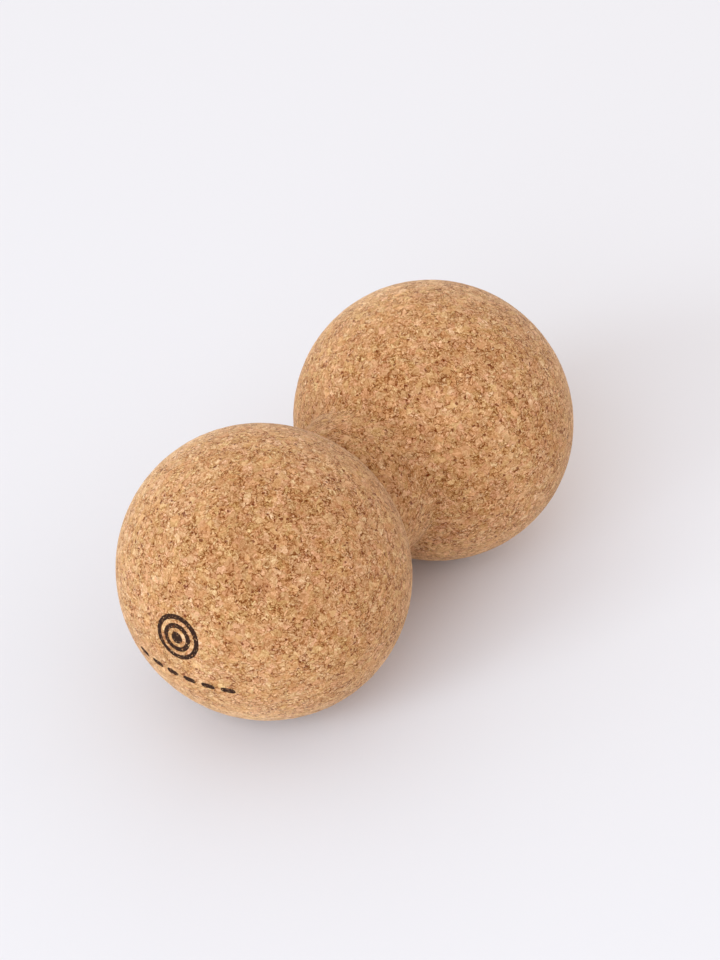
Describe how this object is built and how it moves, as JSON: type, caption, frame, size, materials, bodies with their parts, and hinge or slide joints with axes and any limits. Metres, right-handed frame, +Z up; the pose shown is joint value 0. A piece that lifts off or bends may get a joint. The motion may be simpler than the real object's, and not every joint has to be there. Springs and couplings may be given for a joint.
{
  "type": "duo massage ball",
  "caption": "Cork duo massage ball: two balls joined by a narrow round neck, turned in one piece, rolled along the muscles beside the spine.",
  "frame": {"origin": "on the floor, halfway between the two balls, straight below the middle of the neck", "axes": "+X along the long axis from the marked ball to the plain ball, +Z up as it lies on a floor, +Y to the left of someone looking from the marked end to the plain end"},
  "size_m": [0.1284, 0.065, 0.065],
  "materials": {
    "cork": "fine granulated cork, sanded matt, not varnished",
    "ink": "matt black-brown ink soaked into the cork"
  },
  "bodies": {
    "root": {"cork_body": "cork", "mark_outer_ring": "ink", "mark_inner_ring": "ink", "mark_dot": "ink", "mark_bar_1": "ink", "mark_bar_2": "ink", "mark_bar_3": "ink", "mark_bar_4": "ink", "mark_bar_5": "ink", "mark_bar_6": "ink"}
  },
  "joints": []
}
